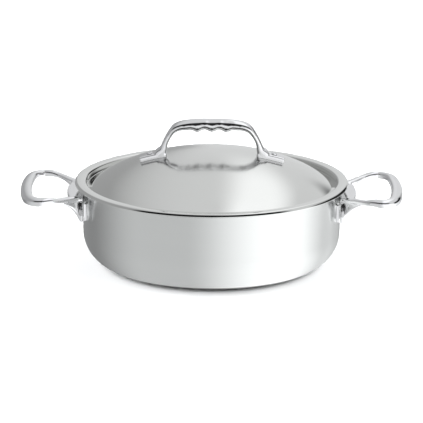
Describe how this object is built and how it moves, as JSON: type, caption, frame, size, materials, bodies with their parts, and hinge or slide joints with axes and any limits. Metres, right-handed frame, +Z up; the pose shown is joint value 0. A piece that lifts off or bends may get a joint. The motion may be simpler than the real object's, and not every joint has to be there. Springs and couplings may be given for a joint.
{
  "type": "cooking pot",
  "caption": "Low straight-sided stainless steel cooking pot with riveted cast loop handles and a domed drop-in lid under an arched scalloped grip, for stovetop braising and simmering.",
  "frame": {"origin": "centre of the pot's flat base, on the surface that it stands on", "axes": "+X through the side handles, +Y to the back, +Z up along the pot's axis"},
  "size_m": [0.4196, 0.3, 0.1625],
  "materials": {
    "pot_steel": "polished around the pot, with a faint turning grain",
    "lid_steel": "polished, with a faint turning grain",
    "handle_steel": "mirror-polished casting",
    "rivet_steel": "polished"
  },
  "bodies": {
    "pot": {"pot_body": "pot_steel", "side_handle_right": "handle_steel", "side_handle_left": "handle_steel", "side_rivet_right_front": "rivet_steel", "side_rivet_right_rear": "rivet_steel", "side_rivet_left_front": "rivet_steel", "side_rivet_left_rear": "rivet_steel"},
    "lid": {"lid_shell": "lid_steel", "lid_handle": "handle_steel", "lid_rivet_left": "rivet_steel", "lid_rivet_right": "rivet_steel"}
  },
  "joints": [
    {"name": "lid_lift", "type": "slide", "parent": "pot", "child": "lid", "axis": [0, 0, 1], "range_m": [0, 0.15]}
  ]
}
